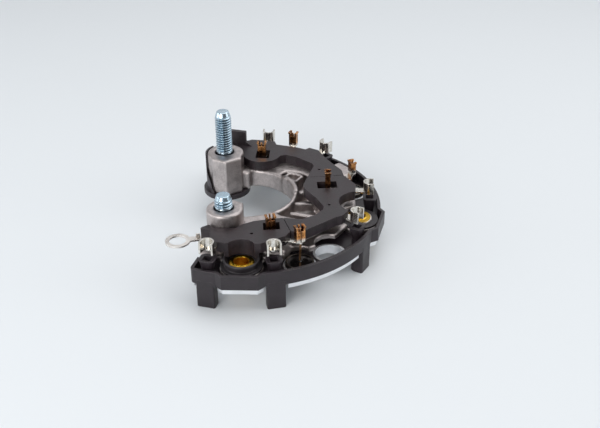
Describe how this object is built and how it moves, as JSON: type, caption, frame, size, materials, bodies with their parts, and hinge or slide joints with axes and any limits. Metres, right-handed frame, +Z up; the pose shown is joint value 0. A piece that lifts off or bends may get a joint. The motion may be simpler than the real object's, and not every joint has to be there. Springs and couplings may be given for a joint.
{
  "type": "alternator rectifier",
  "caption": "Horseshoe rectifier bridge with press-fit diodes, heat sinks, stator wire clips and two output studs.",
  "frame": {"origin": "on the surface that the legs stand on, under the centre of the outer circle", "axes": "+Z up along the studs, +X into the closed side of the horseshoe"},
  "size_m": [0.1013, 0.1266, 0.0548],
  "materials": {
    "carrier_plastic": "glass filled moulded plastic, satin",
    "cover_plastic": "glass filled moulded plastic, fine texture",
    "bush_plastic": "moulded plastic, satin",
    "cast_aluminium": "as cast, shot blasted",
    "stamped_aluminium": "stamped sheet, bright",
    "zinc_steel": "blue passivated zinc",
    "tinned_steel": "tin plated",
    "tinned_copper": "tin plated, with the crimps heated to copper colour",
    "brass": "pressed brass, bright",
    "diode_cup": "nickel plated copper",
    "diode_resin": "poured black resin",
    "diode_lead": "copper wire"
  },
  "bodies": {
    "root": {"carrier": "carrier_plastic", "hollow_rivet_far": "brass", "hollow_rivet_middle": "brass", "hollow_rivet_near": "brass", "insulating_bush_far": "bush_plastic", "insulating_bush_middle": "bush_plastic", "insulating_bush_near": "bush_plastic", "long_stud": "zinc_steel", "negative_diode_far_cup": "diode_cup", "negative_diode_far_lead": "diode_lead", "negative_diode_far_resin": "diode_resin", "negative_diode_middle_cup": "diode_cup", "negative_diode_middle_lead": "diode_lead", "negative_diode_middle_resin": "diode_resin", "negative_diode_near_cup": "diode_cup", "negative_diode_near_lead": "diode_lead", "negative_diode_near_resin": "diode_resin", "negative_heat_sink": "stamped_aluminium", "phase_conductor_far": "tinned_copper", "phase_conductor_middle": "tinned_copper", "phase_conductor_near": "tinned_copper", "positive_diode_far_cup": "diode_cup", "positive_diode_far_lead": "diode_lead", "positive_diode_far_resin": "diode_resin", "positive_diode_middle_cup": "diode_cup", "positive_diode_middle_lead": "diode_lead", "positive_diode_middle_resin": "diode_resin", "positive_diode_near_cup": "diode_cup", "positive_diode_near_lead": "diode_lead", "positive_diode_near_resin": "diode_resin", "positive_heat_sink": "cast_aluminium", "ring_terminal": "tinned_steel", "short_stud": "zinc_steel", "terminal_plate_far": "cover_plastic", "terminal_plate_middle": "cover_plastic", "terminal_plate_near": "cover_plastic", "washer_far": "tinned_steel", "washer_middle": "tinned_steel", "washer_near": "tinned_steel"}
  },
  "joints": []
}
